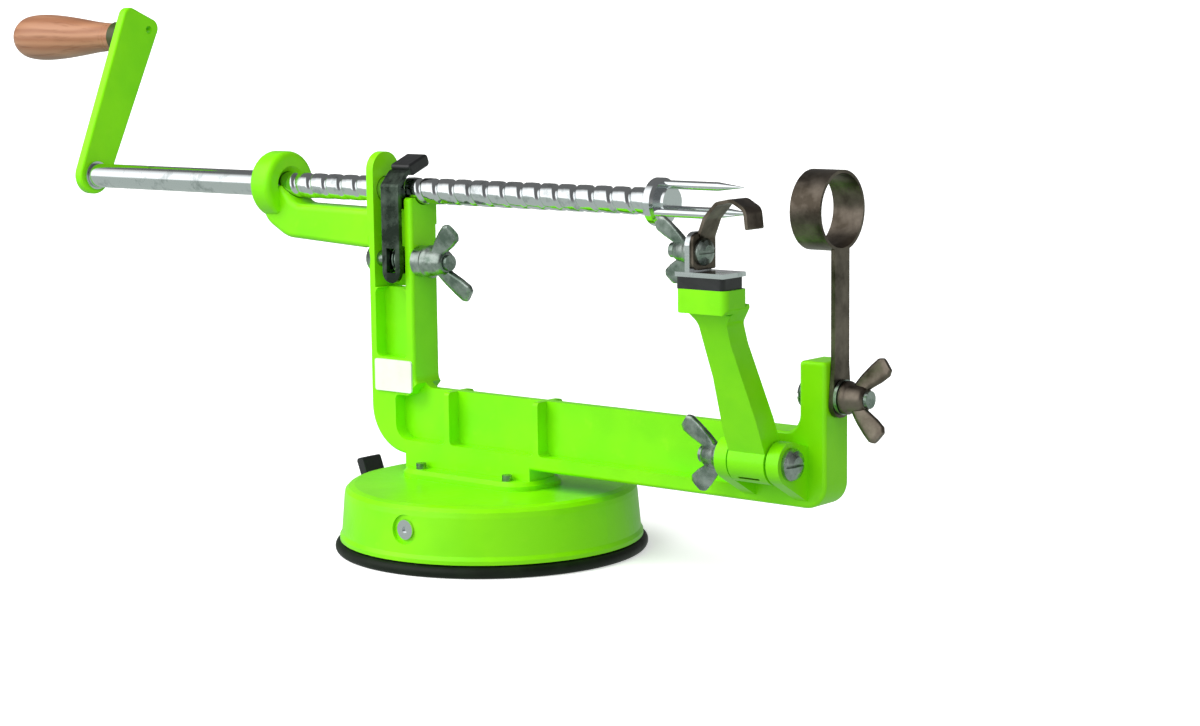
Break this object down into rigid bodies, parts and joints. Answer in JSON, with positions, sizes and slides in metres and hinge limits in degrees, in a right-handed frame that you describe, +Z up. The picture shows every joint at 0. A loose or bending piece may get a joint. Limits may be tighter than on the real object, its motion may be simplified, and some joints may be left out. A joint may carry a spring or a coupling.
{
  "type": "fruit peeler, slicer and corer",
  "caption": "Hand-cranked bench fruit peeler, slicer and corer: a screw shaft feeds the fruit past a sprung peeling blade and a ring blade, on a lever-locked suction base.",
  "frame": {"origin": "centre of the suction pad underside, on the table", "axes": "+X along the shaft from the crank towards the slicer, +Y to the back, +Z up"},
  "size_m": [0.3954, 0.0984, 0.17],
  "materials": {
    "green_enamel": "glossy enamel",
    "black_rubber": "moulded",
    "black_plastic": "dipped vinyl",
    "white_plate": "smooth",
    "chromed_steel": "polished chrome",
    "plated_steel": "zinc plated",
    "dark_steel": "ground blade steel",
    "blackened_steel": "oil blackened",
    "turned_wood": "lacquered",
    "dark_ferrule": "satin"
  },
  "bodies": {
    "frame": {"suction_pad": "black_rubber", "base_housing": "green_enamel", "base_screws": "plated_steel", "lever_pivot_pin": "chromed_steel", "main_frame": "green_enamel", "label_plate": "white_plate", "release_bolt": "plated_steel", "release_spring": "plated_steel", "release_spacer": "plated_steel", "peel_pivot_bolt": "plated_steel", "peel_spring": "plated_steel", "slicer_bolt": "plated_steel", "slicer_washer": "plated_steel"},
    "lock_lever": {"suction_lever": "plated_steel", "suction_lever_grip": "black_plastic"},
    "lock_stem": {"suction_stem": "plated_steel"},
    "crank_carriage": {"crank_washer": "chromed_steel"},
    "crank": {"crank_shaft": "chromed_steel", "crank_rivet": "chromed_steel", "fruit_fork": "chromed_steel", "crank_arm": "green_enamel", "handle_pin": "chromed_steel"},
    "handle": {"wood_handle": "turned_wood", "handle_ferrule": "dark_ferrule"},
    "release": {"release_lever": "blackened_steel", "thumb_cap": "black_plastic", "half_nut": "blackened_steel"},
    "release_nut": {"release_wing_nut": "plated_steel"},
    "peeler": {"peel_arm": "green_enamel", "blade_spacer": "black_plastic", "blade_bracket": "chromed_steel", "peel_blade": "dark_steel", "blade_bolt": "plated_steel"},
    "peeler_nut": {"peel_wing_nut": "plated_steel"},
    "blade_nut": {"blade_wing_nut": "plated_steel"},
    "slicer": {"slicer_blade": "dark_steel"},
    "slicer_nut": {"slicer_wing_nut": "dark_steel"}
  },
  "joints": [
    {"name": "crank_slide", "type": "slide", "parent": "frame", "child": "crank_carriage", "axis": [1, 0, 0], "range_m": [-0.089, 0.06]},
    {"name": "crank_spin", "type": "hinge", "parent": "crank_carriage", "child": "crank", "pos_m": [0, 0, 0.111], "axis": [1, 0, 0], "range_deg": [-4560, 3080]},
    {"name": "handle_spin", "type": "hinge", "parent": "crank", "child": "handle", "pos_m": [-0.2, 0.0215, 0.1595], "axis": [1, 0, 0], "continuous": true},
    {"name": "lock_lever_tilt", "type": "hinge", "parent": "frame", "child": "lock_lever", "pos_m": [0.006, 0, 0.0135], "axis": [0, 1, 0], "range_deg": [-9, 0]},
    {"name": "lock_stem_slide", "type": "slide", "parent": "frame", "child": "lock_stem", "axis": [0, 0, 1], "range_m": [-0.0013, 0]},
    {"name": "release_lever_tilt", "type": "hinge", "parent": "frame", "child": "release", "pos_m": [-0.036, -0.0025, 0.089], "axis": [1, 0, 0], "range_deg": [0, 20], "stiffness_Nm_per_rad": 0.12, "springref_deg": -22.92},
    {"name": "release_nut_turn", "type": "hinge", "parent": "frame", "child": "release_nut", "pos_m": [-0.02, -0.0025, 0.089], "axis": [1, 0, 0], "continuous": true},
    {"name": "peeler_swing", "type": "hinge", "parent": "frame", "child": "peeler", "pos_m": [0.113, -0.0145, 0.041], "axis": [1, 0, 0], "range_deg": [-15, 38], "stiffness_Nm_per_rad": 0.6},
    {"name": "peeler_nut_turn", "type": "hinge", "parent": "frame", "child": "peeler_nut", "pos_m": [0.098, -0.0145, 0.041], "axis": [1, 0, 0], "continuous": true},
    {"name": "blade_nut_turn", "type": "hinge", "parent": "peeler", "child": "blade_nut", "pos_m": [0.105, -0.037, 0.1015], "axis": [1, 0, 0], "continuous": true},
    {"name": "slicer_swing", "type": "hinge", "parent": "frame", "child": "slicer", "pos_m": [0.13, 0, 0.0588], "axis": [1, 0, 0], "range_deg": [-100, 0]},
    {"name": "slicer_nut_turn", "type": "hinge", "parent": "frame", "child": "slicer_nut", "pos_m": [0.136, 0, 0.0588], "axis": [1, 0, 0], "continuous": true}
  ],
  "couplings": [
    {"joint": "crank_slide", "follows": "crank_spin", "m_per_rad": 0.0011141},
    {"joint": "lock_stem_slide", "follows": "lock_lever_tilt", "m_per_rad": 0.008}
  ]
}
